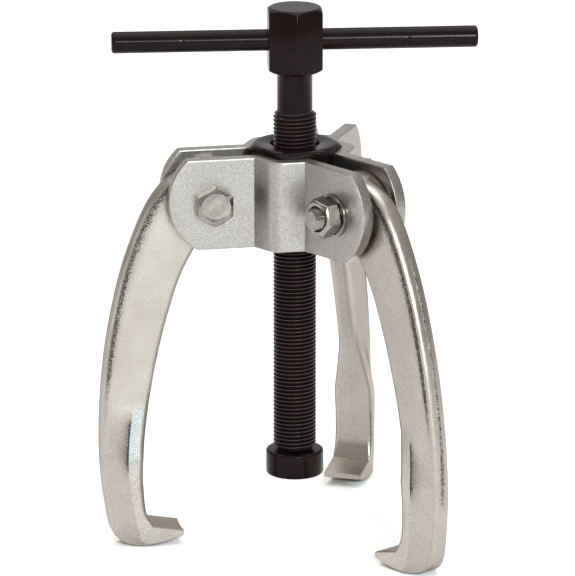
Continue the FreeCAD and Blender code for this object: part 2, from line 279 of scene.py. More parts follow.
def hex_rings(radii, low, high, flat_radius, angle, bottom=True, soft=0.15):
    """Outer rings of a hexagon from its lower face to its upper one, with a turned chamfer on top and, if
    bottom is set, below. soft is the small bevel along the other edges."""
    inner_ring = flat_radius * 0.97
    slope = math.tan(math.radians(angle))
    drop = np.maximum(radii - flat_radius, 0) * slope
    rings = []
    if bottom:
        rings += [(inner_ring, low), (np.minimum(radii, flat_radius), low),
                  (radii - soft, low + np.maximum(drop - soft * slope, 0)), (radii, low + drop + soft)]
    else:
        rings += [(radii - soft, low), (radii, low + soft)]
    rings += [(radii, (low + high) / 2), (radii, high - drop - soft),
              (radii - soft, high - np.maximum(drop - soft * slope, 0)),
              (np.minimum(radii, flat_radius), high), (inner_ring, high)]
    return rings


def cut(obj, tool, operation="DIFFERENCE"):
    """Apply an exact boolean with tool, and drop the tool."""
    modifier = obj.modifiers.new("cut", "BOOLEAN")
    modifier.object = tool
    modifier.operation = operation
    modifier.solver = "EXACT"
    depsgraph = bpy.context.evaluated_depsgraph_get()
    depsgraph.update()
    mesh = bpy.data.meshes.new_from_object(obj.evaluated_get(depsgraph))
    obj.modifiers.clear()
    obj.data = mesh
    bpy.data.objects.remove(tool)


def joined(name, objects, smooth_angle):
    """One object from several, in the order given."""
    bm = bmesh.new()
    for o in objects:
        bm.from_mesh(o.data)
        bpy.data.objects.remove(o)
    mesh = bpy.data.meshes.new(name)
    bm.to_mesh(mesh)
    bm.free()
    obj = bpy.data.objects.new(name, mesh)
    bpy.context.scene.collection.objects.link(obj)
    tidy_mesh(mesh, smooth_angle)
    return obj


def thread(name, radius, depth, pitch, low, high, end_radius, segments):
    """An external thread between two heights, each end chamfered down towards end_radius and closed.
    The crest is marked for the material."""
    per_turn = len(THREAD_SHAPE)
    turns = int((high - low) / pitch) + 3
    vertices, crest = [], []
    for turn in range(turns):
        for phase, fall in THREAD_SHAPE:
            for s in range(segments):
                a = 2 * math.pi * s / segments
                z = low - 1.5 * pitch + (turn + phase + s / segments) * pitch
                end_distance = min(max(z - low, 0.0), max(high - z, 0.0))
                r = min(radius - depth * fall, end_radius + THREAD_END_SLOPE * end_distance)
                vertices.append((r * math.cos(a), r * math.sin(a), z))
                crest.append(max(1 - CREST_NARROWNESS * fall, 0.0))
    faces = []
    rows = turns * per_turn
    for i in range(rows - 1):
        for s in range(segments - 1):
            a = i * segments + s
            faces.append((a, a + 1, a + 1 + segments, a + segments))
    for i in range(rows - 1 - per_turn):
        a = i * segments + segments - 1
        b = (i + per_turn) * segments
        faces.append((a, b, b + segments, a + segments))
    smooth_angle = 50.0
    obj = new_object(name, vertices, faces, smooth_angle, {"crest": crest})
    bm = bmesh.new()
    bm.from_mesh(obj.data)
    for height, direction in ((low, -1), (high, 1)):
        geometry = bm.verts[:] + bm.edges[:] + bm.faces[:]
        done = bmesh.ops.bisect_plane(bm, geom=geometry, dist=1e-7, plane_co=(0, 0, height * MM),
                                      plane_no=(0, 0, direction), clear_outer=True)
        rim = [e for e in done["geom_cut"] if isinstance(e, bmesh.types.BMEdge)]
        bmesh.ops.edgeloop_fill(bm, edges=rim)
    bm.to_mesh(obj.data)
    bm.free()
    tidy_mesh(obj.data, smooth_angle)
    return obj


def along_pivot(azimuth):
    """Takes an upright turned piece to the pivot of the arm at that azimuth, its +Z along the tangent."""
    turn = Matrix.Rotation(math.radians(azimuth), 4, "Z")
    move = Matrix.Translation((PIVOT_RADIUS * MM, 0, PIVOT_HEIGHT * MM))
    return turn @ move @ Matrix.Rotation(math.radians(-90), 4, "X")


# ---- materials ---------------------------------------------------------------

def node_material(name):
    """A new material with its node tree, its shader and the object's own coordinates."""
    material = bpy.data.materials.new(name)
    material.use_nodes = True
    tree = material.node_tree
    shader = tree.nodes["Principled BSDF"]
    place = tree.nodes.new("ShaderNodeTexCoord")
    return material, tree, shader, place.outputs["Object"]


def noise(tree, place, scale, detail=3.0, roughness=0.55):
    """A noise value; scale is features per metre."""
    node = tree.nodes.new("ShaderNodeTexNoise")
    node.inputs["Scale"].default_value = scale
    node.inputs["Detail"].default_value = detail
    node.inputs["Roughness"].default_value = roughness
    tree.links.new(place, node.inputs["Vector"])
    return node.outputs["Fac"]


def cells(tree, place, scale):
    """A grainy value, one per small cell."""
    node = tree.nodes.new("ShaderNodeTexVoronoi")
    node.inputs["Scale"].default_value = scale
    tree.links.new(place, node.inputs["Vector"])
    separate = tree.nodes.new("ShaderNodeSeparateColor")
    tree.links.new(node.outputs["Color"], separate.inputs["Color"])
    return separate.outputs["Red"]


def remap(tree, value, low, high, to_low, to_high):
    """A value moved from one range to another and kept inside it."""
    node = tree.nodes.new("ShaderNodeMapRange")
    for socket, number in (("From Min", low), ("From Max", high), ("To Min", to_low), ("To Max", to_high)):
        node.inputs[socket].default_value = number
    tree.links.new(value, node.inputs["Value"])
    return node.outputs["Result"]


def mixed(tree, a, share_a, b, share_b):
    """The sum of two values, each times its share."""
    return maths(tree, "ADD", maths(tree, "MULTIPLY", a, share_a), maths(tree, "MULTIPLY", b, share_b))


def maths(tree, operation, a, b):
    node = tree.nodes.new("ShaderNodeMath")
    node.operation = operation
    for socket, value in zip(node.inputs, (a, b)):
        if isinstance(value, (int, float)):
            socket.default_value = value
        else:
            tree.links.new(value, socket)
    return node.outputs["Value"]


def ramp(tree, value, stops):
    """A colour from a value, through (position, colour) stops."""
    node = tree.nodes.new("ShaderNodeValToRGB")
    elements = node.color_ramp.elements
    while len(elements) < len(stops):
        elements.new(0.5)
    for element, (position, colour) in zip(elements, stops):
        element.position = position
        element.color = (*colour, 1.0)
    tree.links.new(value, node.inputs["Fac"])
    return node.outputs["Color"]


def blend(tree, factor, a, b):
    """Colour a where the factor is 0 and b where it is 1."""
    node = tree.nodes.new("ShaderNodeMix")
    node.data_type = "RGBA"
    tree.links.new(factor, node.inputs[0])
    for socket, value in ((node.inputs[6], a), (node.inputs[7], b)):
        if isinstance(value, tuple):
            socket.default_value = (*value, 1.0)
        else:
            tree.links.new(value, socket)
    return node.outputs[2]


def attribute(tree, name):
    """A mark that the mesh carries, 0 where it has none."""
    node = tree.nodes.new("ShaderNodeAttribute")
    node.attribute_name = name
    return node.outputs["Fac"]


def bump(tree, shader, layers):
    """Stack bump layers given as (height value, depth in metres, strength)."""
    normal = None
    for value, depth, strength in layers:
        node = tree.nodes.new("ShaderNodeBump")
        node.inputs["Distance"].default_value = depth
        node.inputs["Strength"].default_value = strength
        tree.links.new(value, node.inputs["Height"])
        if normal is not None:
            tree.links.new(normal, node.inputs["Normal"])
        normal = node.outputs["Normal"]
    tree.links.new(normal, shader.inputs["Normal"])


def zinc_plate_material():
    """Bright clear zinc over rolled flat bar: fine sparkle, faint clouds."""
    material, tree, shader, place = node_material("zinc_on_rolled_plate")
    sparkle = cells(tree, place, 4200)
    cloud = noise(tree, place, 40, 3)
    tone = mixed(tree, sparkle, 0.7, cloud, 0.3)
    colour = ramp(tree, tone, [(0.15, (0.235, 0.215, 0.205)), (0.5, (0.305, 0.282, 0.270)),
                               (0.85, (0.41, 0.385, 0.372))])
    tree.links.new(colour, shader.inputs["Base Color"])
    shader.inputs["Metallic"].default_value = 1.0
    tree.links.new(remap(tree, cloud, 0.3, 0.7, 0.33, 0.38), shader.inputs["Roughness"])
    grain = noise(tree, place, 2400, 3, 0.6)
    bump(tree, shader, [(grain, 0.00004, 0.8), (cloud, 0.0002, 0.10)])
    return material


def forged_arm_material():
    """Zinc over a drop-forged surface: orange peel, warm tone, dark speckled forging scale along the middle
    line and painted shade in the corners, creases and on the slope. The mesh's own marks say where it is
    cream, brighter (a patch), painted shade or dark speckled mark."""
    material, tree, shader, place = node_material("zinc_on_forging")
    peel = noise(tree, place, 900, 4, 0.6)
    grain = noise(tree, place, 2000, 3, 0.7)
    cloud = noise(tree, place, 60, 4)
    fine = noise(tree, place, 3200, 2, 0.6)
    tone = mixed(tree, grain, 0.7, cloud, 0.3)
    clean = ramp(tree, tone, [(0.30, (0.275, 0.245, 0.220)), (0.5, (0.380, 0.345, 0.314)),
                              (0.70, (0.50, 0.463, 0.43))])
    cream = ramp(tree, tone, [(0.32, (0.30, 0.272, 0.243)), (0.5, (0.435, 0.398, 0.360)),
                              (0.68, (0.62, 0.58, 0.535))])
    bright = ramp(tree, fine, [(0.35, (0.27, 0.27, 0.27)), (0.5, (0.375, 0.375, 0.375)),
                               (0.65, (0.53, 0.53, 0.53))])
    colour = blend(tree, attribute(tree, "cream"), clean, cream)
    # a brighter, greyer patch on the flange where the mesh marks it
    colour = blend(tree, attribute(tree, "bright_patch"), colour, bright)
    # painted shade: the colour blends to near-black where the mesh is marked for shade
    colour = blend(tree, attribute(tree, "shade"), colour, (0.085, 0.078, 0.072))
    # dark speckled mark, blended to near-black: forging scale along the middle line, painted shade in the
    # corners, creases and on the slope
    speckle = noise(tree, place, 1300, 4, 0.75)
    scale_and_painted_shade = maths(tree, "ADD", attribute(tree, "scale_and_painted_shade"), maths(tree, "MULTIPLY", speckle, 1.3))
    dark = remap(tree, scale_and_painted_shade, 1.10, 1.34, 0.0, 1.0)
    colour = blend(tree, dark, colour, (0.050, 0.047, 0.045))
    tree.links.new(colour, shader.inputs["Base Color"])
    shader.inputs["Metallic"].default_value = 1.0
    shader.inputs["Specular Tint"].default_value = (0.70, 0.66, 0.62, 1.0)
    tree.links.new(remap(tree, cloud, 0.3, 0.7, 0.28, 0.34), shader.inputs["Roughness"])
    bump(tree, shader, [(peel, 0.00012, 0.8), (grain, 0.00005, 0.6), (dark, 0.0002, 0.5)])
    return material


def fastener_material():
    """Bright zinc on machined bolts, nuts and washers."""
    material, tree, shader, place = node_material("bright_zinc_fastener")
    fine = noise(tree, place, 1800, 3)
    cloud = noise(tree, place, 250, 3)
    tone = mixed(tree, fine, 0.4, cloud, 0.6)
    colour = ramp(tree, tone, [(0.3, (0.17, 0.153, 0.140)), (0.55, (0.265, 0.246, 0.227)),
                               (0.75, (0.40, 0.382, 0.358))])
    tree.links.new(colour, shader.inputs["Base Color"])
    shader.inputs["Metallic"].default_value = 1.0
    tree.links.new(remap(tree, cloud, 0.3, 0.7, 0.13, 0.20), shader.inputs["Roughness"])
    bump(tree, shader, [(fine, 0.00006, 0.4), (cloud, 0.00015, 0.2)])
    return material


def black_oxide_material():
    """Oiled black oxide: brown-black, satin, a little brighter on the crests of a thread, where wear shows.
    """
    material, tree, shader, place = node_material("oiled_black_oxide")
    fine = noise(tree, place, 2000, 3)
    cloud = noise(tree, place, 120, 4)
    tone = mixed(tree, fine, 0.35, cloud, 0.65)
    colour = ramp(tree, tone, [(0.3, (0.004, 0.0018, 0.0018)), (0.55, (0.007, 0.0032, 0.0032)),
                               (0.75, (0.012, 0.0065, 0.0063))])
    crest = attribute(tree, "crest")
    colour = blend(tree, crest, colour, (0.055, 0.046, 0.044))
    tree.links.new(colour, shader.inputs["Base Color"])
    tree.links.new(maths(tree, "MULTIPLY", crest, 0.35), shader.inputs["Metallic"])
    shader.inputs["Specular IOR Level"].default_value = 0.085
    tree.links.new(remap(tree, cloud, 0.3, 0.7, 0.16, 0.23), shader.inputs["Roughness"])
    bump(tree, shader, [(fine, 0.00003, 0.5), (cloud, 0.00015, 0.15)])
    return material


def bearing_steel_material():
    """Ground bright steel, for the two pieces shut in the foot."""
    material, tree, shader, place = node_material("ground_bearing_steel")
    fine = noise(tree, place, 3000, 2)
    colour = ramp(tree, fine, [(0.3, (0.42, 0.42, 0.43)), (0.7, (0.62, 0.62, 0.63))])
    tree.links.new(colour, shader.inputs["Base Color"])
    shader.inputs["Metallic"].default_value = 1.0
    tree.links.new(remap(tree, fine, 0.3, 0.7, 0.16, 0.28), shader.inputs["Roughness"])
    bump(tree, shader, [(fine, 0.00001, 0.4)])
    return material


def floor_material():
    material, tree, shader, place = node_material("pale_floor")
    colour = ramp(tree, noise(tree, place, 3, 2), [(0.3, (0.96, 0.96, 0.96)), (0.7, (0.98, 0.98, 0.98))])
    tree.links.new(colour, shader.inputs["Base Color"])
    shader.inputs["Roughness"].default_value = 0.9
    shader.inputs["Specular IOR Level"].default_value = 0.1
    return material


PLATE_ZINC = zinc_plate_material()
ARM_ZINC = forged_arm_material()
FASTENER_ZINC = fastener_material()
BLACK_OXIDE = black_oxide_material()
BEARING_STEEL = bearing_steel_material()


def place_piece(obj, body, slot, material, *nodes):
    """Give a piece its finish, the body it rides on and the CAD nodes it stands for."""
    obj.data.materials.clear()
    obj.data.materials.append(material)
    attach(obj, body)
    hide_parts(*nodes)
    return obj


# ---- spindle, tommy bar and foot ------------------------------------------------

BAR_TURN = Matrix.Rotation(math.radians(BAR_AZIMUTH), 4, "Z") @ Matrix.Rotation(math.radians(90), 4, "Y")
BAR_LINE = Matrix.Translation((0, 0, BAR_HEIGHT * MM)) @ BAR_TURN


def make_spindle():
    """Threaded screw with a plain neck, a drilled hexagon head and a grooved nose that sits in the foot."""
    angles, radii = hexagon(HEAD_ACROSS_FLATS, 0.5, BAR_AZIMUTH + 30)
    rings = [(0, HEAD_BOTTOM)] + hex_rings(radii, HEAD_BOTTOM, HEAD_TOP, HEAD_CHAMFER_RADIUS,
                                           HEAD_CHAMFER_ANGLE, soft=0.25) + [(0, HEAD_TOP)]
    head = new_object("head", *stack(rings, angles))
    hole_radius, half = BAR_RADIUS + BAR_HOLE_CLEARANCE, 15
    hole = turned("hole", [(0, -half), (hole_radius, -half), (hole_radius, half), (0, half)], 0, 64, BAR_LINE)
    cut(head, hole)
    neck = turned("neck", [(0, THREAD_TOP - 0.6), (NECK_RADIUS, THREAD_TOP - 0.6),
                           (NECK_RADIUS, HEAD_BOTTOM - 1.0),
                           (NECK_RADIUS + NECK_FLARE, HEAD_BOTTOM + OVERLAP), (0, HEAD_BOTTOM + OVERLAP)],
                  0, 96)
    screw = thread("screw", THREAD_RADIUS, THREAD_DEPTH, THREAD_PITCH, THREAD_BOTTOM, THREAD_TOP,
                   NECK_RADIUS - 0.1, 72)
    low, high = RING_GROOVE[0] - RING_SIDE_CLEARANCE, RING_GROOVE[1] + RING_SIDE_CLEARANCE
    nose = turned("nose", [(0, NOSE_BOTTOM), (NOSE_RADIUS - NOSE_CHAMFER, NOSE_BOTTOM),
                           (NOSE_RADIUS, NOSE_BOTTOM + NOSE_CHAMFER), (NOSE_RADIUS, low),
                           (NOSE_GROOVE_RADIUS, low), (NOSE_GROOVE_RADIUS, high), (NOSE_RADIUS, high),
                           (NOSE_RADIUS, THREAD_BOTTOM + OVERLAP), (0, THREAD_BOTTOM + OVERLAP)], 0, 64)
    return joined("spindle_screw", [screw, head, neck, nose], 40.0)


def make_bar():
    """Plain round bar with chamfered ends and a faint ring mark on each side."""
    half = BAR_LENGTH / 2
    groove = BAR_RADIUS - BAR_MARK_DEPTH
    end = BAR_RADIUS - BAR_CHAMFER
    profile = [(0, -half), (end, -half, 1), (BAR_RADIUS, -half + BAR_CHAMFER, 1), (BAR_RADIUS, -half + 2)]
    for mark in (-BAR_MARK_PLACE, BAR_MARK_PLACE):
        profile += [(BAR_RADIUS, mark - 1.2), (BAR_RADIUS, mark - 0.4), (groove, mark - 0.2),
                    (groove, mark + 0.2), (BAR_RADIUS, mark + 0.4), (BAR_RADIUS, mark + 1.2)]
    profile += [(BAR_RADIUS, half - 2), (BAR_RADIUS, half - BAR_CHAMFER, 1), (end, half, 1), (0, half)]
    return turned("tommy_bar_rod", profile, 0.35, 72, BAR_LINE)


def make_foot():
    """Cup that turns on the spindle's nose, with a groove for the retaining ring."""
    low, high, groove = RING_GROOVE
    rim = FOOT_RADIUS - FOOT_CHAMFER
    profile = [(0, 0), (rim, 0, 1), (FOOT_RADIUS, FOOT_CHAMFER, 1),
               (FOOT_RADIUS, FOOT_HEIGHT - FOOT_CHAMFER, 1), (rim, FOOT_HEIGHT, 1),
               (FOOT_BORE_RADIUS + FOOT_LIP, FOOT_HEIGHT, 1),
               (FOOT_BORE_RADIUS, FOOT_HEIGHT - FOOT_LIP), (FOOT_BORE_RADIUS, high), (groove, high),
               (groove, low), (FOOT_BORE_RADIUS, low), (FOOT_BORE_RADIUS, FOOT_FLOOR), (0, FOOT_FLOOR)]
    return turned("pressure_foot_cap", profile, 0.4, 96)


place_piece(make_spindle(), "spindle", "black_oxide", BLACK_OXIDE, "spindle")
place_piece(make_bar(), "tommy_bar", "black_oxide", BLACK_OXIDE, "tommy_bar")
place_piece(make_foot(), "foot", "black_oxide", BLACK_OXIDE, "pressure_foot")
for node_name in ("thrust_ball", "retaining_ring"):
    node = frame["nodes"][node_name]
    for slot in node.material_slots:
        slot.material = BEARING_STEEL

# ---- centre nut, side plates and pivot bolts -------------------------------------

def make_nut():
    """Long hexagon nut with turned corners and a countersunk bore."""
    chamfer_radius = NUT_ACROSS_FLATS / 2 * 0.95
    angles, radii = hexagon(NUT_ACROSS_FLATS, 0.4, 0.0, NUT_CORNER_RADIUS)
    depth = NUT_COUNTERSINK_RADIUS - NUT_BORE_RADIUS
    rings = hex_rings(radii, NUT_BOTTOM, NUT_TOP, chamfer_radius, 30.0, bottom=False, soft=0.3)
    root = NUT_BORE_RADIUS + 0.5
    rim = NUT_COUNTERSINK_RADIUS
    sink = [(rim + 0.15, NUT_TOP), (rim - 0.15, NUT_TOP - 0.15), (root, NUT_TOP - depth),
            (root, NUT_TOP - depth - 1.5), (NUT_BORE_RADIUS, NUT_TOP - depth - 2.0),
            (NUT_BORE_RADIUS, NUT_BOTTOM), (radii - 0.3, NUT_BOTTOM)]
    return new_object("centre_nut_body", *stack(rings + sink, angles))


def meet(normal_a, distance_a, normal_b, distance_b):
    """Where two plan lines meet, each given by its normal's azimuth and its distance."""
    ax, ay = math.cos(math.radians(normal_a)), math.sin(math.radians(normal_a))
    bx, by = math.cos(math.radians(normal_b)), math.sin(math.radians(normal_b))
    det = ax * by - ay * bx
    return (distance_a * by - distance_b * ay) / det, (ax * distance_b - bx * distance_a) / det


def ear_reach(z):
    """Radius of the ear's end at a height relative to the pivot: a circle through three points."""
    (r1, r2, r3), half = EAR_RADII, PLATE_HEIGHT / 2
    p1, p2, p3 = Vector((r1, -half)), Vector((r2, 0)), Vector((r3, half))
    a, b = p2 - p1, p3 - p1
    d = 2 * (a.x * b.y - a.y * b.x)
    centre = p1 + Vector((b.y * a.length_squared - a.y * b.length_squared,
                          a.x * b.length_squared - b.x * a.length_squared)) / d
    radius = (p1 - centre).length
    return centre.x + math.sqrt(max(radius ** 2 - (z - centre.y) ** 2, 0))


def plate_column(column, z, depth, grow):
    """Plan position in a plate whose bend points along +X. depth runs from the inner skin outwards."""
    side = 1 if column[1] >= 0 else -1
    kind, value = column[0], abs(column[1])
    apothem = NUT_ACROSS_FLATS / 2 + depth
    across = ARM_GAP_HALF + depth
    c30, s30 = math.cos(math.pi / 6), math.sin(math.pi / 6)
    bend = meet(30, apothem, -30, across)
    fillet = PLATE_BEND_RADIUS - PLATE_THICKNESS + depth
    centre = (apothem - fillet) / c30
    if kind == "arc":
        a = math.radians(30 * value)
        x, y = centre + fillet * math.cos(a), fillet * math.sin(a)
    elif kind == "flat":
        start = (centre + fillet * c30, fillet * s30)
        x, y = (start[i] + (bend[i] - start[i]) * value for i in (0, 1))
    else:
        reach = ear_reach(max(-PLATE_HEIGHT / 2, min(PLATE_HEIGHT / 2, z))) + grow
        radial = bend[0] * 0.5 + bend[1] * c30
        r = radial + (reach - radial) * value
        x, y = r * 0.5 + across * c30, r * c30 - across * 0.5
    return x, side * y


def make_plate(name, azimuth):
    """Bent side plate: a fillet on the nut's corner, two flats on the nut and an ear along each arm's slot.
    It is a grid on each skin, with its rounded rim between them."""
    edge = PLATE_EDGE
    ear_steps = [0.12, 0.25, 0.38, 0.5, 0.62, 0.74, 0.85, 0.93, 1.0]
    half_columns = [("arc", v) for v in (0.25, 0.5, 0.75, 1.0)] + [("flat", v) for v in (0.5, 1.0)]
    half_columns += [("ear", v) for v in ear_steps]
    columns = [(k, -v) for k, v in reversed(half_columns)] + [("arc", 0.0)] + half_columns
    rows = [math.sin(math.pi / 2 * t) for t in np.linspace(-1, 1, 19)]
    half = PLATE_HEIGHT / 2
    vertices, index = [], {}

    def vertex(i, j, depth, grow):
        """The vertex of a grid point at a depth, pushed out over the rim by grow."""
        key = (i, j, round(depth, 4), round(grow, 4))
        if key not in index:
            z = rows[i] * (half - edge)
            if i in (0, len(rows) - 1):
                z += math.copysign(grow, rows[i])
            at_end = j in (0, len(columns) - 1)
            x, y = plate_column(columns[j], z, depth, (grow if at_end else 0.0) - edge)
            index[key] = len(vertices)
            vertices.append((x, y, z + PIVOT_HEIGHT))
        return index[key]

    faces = []
    for depth in (0.0, PLATE_THICKNESS):
        for i in range(len(rows) - 1):
            for j in range(len(columns) - 1):
                faces.append(tuple(vertex(a, b, depth, 0.0) for a, b in
                                   ((i, j), (i, j + 1), (i + 1, j + 1), (i + 1, j))))
    rim = [(0, j) for j in range(len(columns) - 1)]
    rim += [(i, len(columns) - 1) for i in range(len(rows) - 1)]
    rim += [(len(rows) - 1, j) for j in range(len(columns) - 1, 0, -1)]
    rim += [(i, 0) for i in range(len(rows) - 1, 0, -1)]
    arc = [math.radians(a) for a in (0, 30, 60, 90)]
    levels = [(edge * (1 - math.cos(a)), edge * math.sin(a)) for a in arc]
    levels += [(PLATE_THICKNESS - d, g) for d, g in reversed(levels)]
    for (d1, g1), (d2, g2) in zip(levels, levels[1:]):
        for k, (i, j) in enumerate(rim):
            n, m = rim[(k + 1) % len(rim)]
            faces.append((vertex(i, j, d1, g1), vertex(n, m, d1, g1),
                          vertex(n, m, d2, g2), vertex(i, j, d2, g2)))
    plate = new_object("plate_" + name + "_bent", vertices, faces, 24.0)
    plate.data.transform(Matrix.Rotation(math.radians(azimuth), 4, "Z"))
    return plate


def make_bolt(name, azimuth):
    """Pivot bolt with a shallow dish in its head; its thread ends past the lock nut."""
    seat = ARM_GAP_HALF + PLATE_THICKNESS
    end = -(seat + WASHER_THICKNESS + LOCK_NUT_HEIGHT + BOLT_PROTRUSION)
    angles, radii = hexagon(BOLT_ACROSS_FLATS, 0.3, 30)
    top = seat + BOLT_HEAD_HEIGHT
    rings = hex_rings(radii, seat, top, BOLT_CHAMFER_RADIUS, 30.0, bottom=False, soft=0.12)
    dish = BOLT_DISH_RADIUS
    rings = [(0, seat)] + rings + [(dish + 0.3, top), (dish, top - 0.1), (dish * 0.6, top - 0.12),
                                   (0, top - 0.12)]
    head = new_object("head", *stack(rings, angles), 20.0)
    plain = end + BOLT_THREADED
    shank = turned("shank", [(0, plain), (BOLT_RADIUS, plain), (BOLT_RADIUS, seat + OVERLAP),
                             (0, seat + OVERLAP)], 0, 48)
    screw = thread("thread", BOLT_RADIUS, BOLT_THREAD_DEPTH, BOLT_PITCH, end, plain + 0.5,
                   BOLT_END_RADIUS, 48)
    bolt = joined("bolt_" + name + "_hex", [head, shank, screw], 24.0)
    bolt.data.transform(along_pivot(azimuth))
    return bolt


def make_washer(name, azimuth):
    """Flat washer between a plate's ear and the lock nut."""
    low = -(ARM_GAP_HALF + PLATE_THICKNESS + WASHER_THICKNESS)
    high = low + WASHER_THICKNESS
    inner, outer = WASHER_BORE_RADIUS, WASHER_RADIUS
    middle = (inner + outer) / 2
    profile = [(middle, low), (outer, low, 1), (outer, high, 1), (inner, high, 1), (inner, low, 1),
               (middle, low)]
    return turned("washer_" + name + "_flat", profile, 0.35, 72, along_pivot(azimuth))


def make_lock_nut(name, azimuth):
    """Hexagon nut chamfered on both faces, turned a little against the bolt's head."""
    top = -(ARM_GAP_HALF + PLATE_THICKNESS + WASHER_THICKNESS)
    bottom = top - LOCK_NUT_HEIGHT
    angles, radii = hexagon(BOLT_ACROSS_FLATS, 0.3, 12)
    rings = hex_rings(radii, bottom, top, LOCK_NUT_CHAMFER_RADIUS, 30.0)
    inner, mouth = LOCK_NUT_BORE_RADIUS, LOCK_NUT_MOUTH
    bore = [(inner + mouth, top), (inner, top - mouth), (inner, bottom + mouth), (inner + mouth, bottom),
            (rings[0][0], bottom)]
    nut = new_object("lock_nut_" + name + "_hex", *stack(rings + bore, angles), 20.0)
    nut.data.transform(along_pivot(azimuth))
    return nut


place_piece(make_nut(), "yoke", "black_oxide", BLACK_OXIDE, "centre_nut")
for side, azimuth in PLATES.items():
    place_piece(make_plate(side, azimuth), "yoke", "zinc_plate", PLATE_ZINC, "plate_" + side)
for side, arm in ARMS.items():
    azimuth = arm["azimuth"]
    place_piece(make_bolt(side, azimuth), "yoke", "zinc_fastener", FASTENER_ZINC, "pivot_bolt_" + side)
    place_piece(make_washer(side, azimuth), "yoke", "zinc_fastener", FASTENER_ZINC, "washer_" + side)
    place_piece(make_lock_nut(side, azimuth), "yoke", "zinc_fastener", FASTENER_ZINC, "lock_nut_" + side)

# ---- arms -----------------------------------------------------------------------

def smooth_path(points, count):
    """Evenly spaced points on a Catmull-Rom curve through the given points."""
    p = [np.array(q, float) for q in points]
    p = [2 * p[0] - p[1]] + p + [2 * p[-1] - p[-2]]
    fine = []
    for a, b, c, d in zip(p, p[1:], p[2:], p[3:]):
        for t in np.linspace(0, 1, 12, endpoint=False):
            fine.append(0.5 * (2 * b + (c - a) * t + (2 * a - 5 * b + 4 * c - d) * t * t
                               + (3 * b - a - 3 * c + d) * t ** 3))
    fine.append(p[-2])
    fine = np.array(fine)
    run = np.concatenate([[0], np.cumsum(np.linalg.norm(np.diff(fine, axis=0), axis=1))])
    at = np.linspace(0, run[-1], count)
    return np.column_stack([np.interp(at, run, fine[:, i]) for i in (0, 1)])


MAIN_STATIONS = 96

# where things on the arm change with height below the pivot, each as (start, length) going down
FLARE = (-78.0, 19.0)                # web widens to the hook
FLANGE_STEP = (-68.0, 8.0)           # flange deepens
FLANGE_END = (-98.0, 14.0)           # and comes back; the middle line's scale ends here too
CORNER_PAINTED_SHADE_END = (-72.0, 20.0)     # painted shade on the outer corners ends
TRIMMED_SCALE = (-22.0, 18.0)        # scale along the middle line begins
VALLEY_PAINTED_SHADE = (-80.0, 5.0)          # painted shade where the flange meets the slope begins
VALLEY_PAINTED_SHADE_END = (-98.0, 6.0)
BEVEL_SHADE = (-70.0, 6.0)           # painted shade on the flange's inner bevel begins
PATCH = (-76.0, 4.0)                 # brighter patch on the flange begins
PATCH_END = (-98.0, 3.0)
CREAM = (-84.0, 10.0)                # flange turns cream
BEVEL_PAINTED_SHADE_TOP = -106.0             # below this the inner bevel takes speckled painted shade
SLOPE_MARK_WIDTH = 3.0               # how far up the slope the valley's painted shade reaches

# how strongly each part of the section carries the dark speckled mark and smooth painted shade; the mark is
# forging scale on the middle line (flash, inner) and painted shade on the corner, bevel, valley and slope
SCALE_AND_PAINTED_SHADE = {"corner": 0.66, "bevel": 0.50, "flash": 0.58, "inner": 0.47, "valley": 0.95, "slope": 0.70}
SHADE = {"corner": 0.30, "bevel": 0.50, "valley": 0.60, "slope": 0.75}

# the heel and hook: inner point, outer point, flange side depth, half widths of flange and outer rib,
# rounding of the inner and outer corners
HOOK_STATIONS = [
    ((25.6, -114.0), (38.8, -121.0), 4.7, 7.4, 3.4, 1.9, 1.2),
    ((25.35, -116.4), (38.0, -124.6), 4.9, 7.4, 3.5, 1.7, 1.2),
    ((25.0, -118.5), (36.4, -127.6), 5.2, 7.4, 3.8, 1.4, 1.2),
    ((24.2, -120.4), (34.2, -129.7), 5.6, 7.4, 4.3, 1.0, 1.2),
    ((23.4, -122.1), (31.8, -130.9), 6.2, 7.4, 5.0, 0.6, 1.2),
    ((22.5, -123.7), (29.2, -131.3), 7.0, 7.4, 6.0, 0.35, 1.1),
    ((20.8, -124.0), (26.4, -131.35), 7.8, 7.4, 6.8, 0.25, 1.0),
    ((18.8, -124.4), (22.8, -131.1), 7.6, 7.4, 7.2, 0.22, 1.0),
    ((16.6, -124.8), (19.6, -130.6), 6.3, 7.4, 7.3, 0.2, 0.9),
    ((14.4, -125.2), (16.2, -129.6), 4.7, 7.4, 7.35, 0.2, 0.7),
    ((12.6, -125.53), (13.4, -128.6), 3.1, 7.4, 7.4, 0.2, 0.5),
    ((11.55, -125.72), (11.9, -128.0), 2.3, 7.4, 7.4, 0.2, 0.4),
    ((11.1, -125.8), (11.2, -127.6), 1.8, 7.4, 7.4, 0.15, 0.3),
]


def fade(z, zone):
    """0 above the zone's start, rising to 1 over its length below."""
    start, length = zone
    return min(max((start - z) / length, 0.0), 1.0)


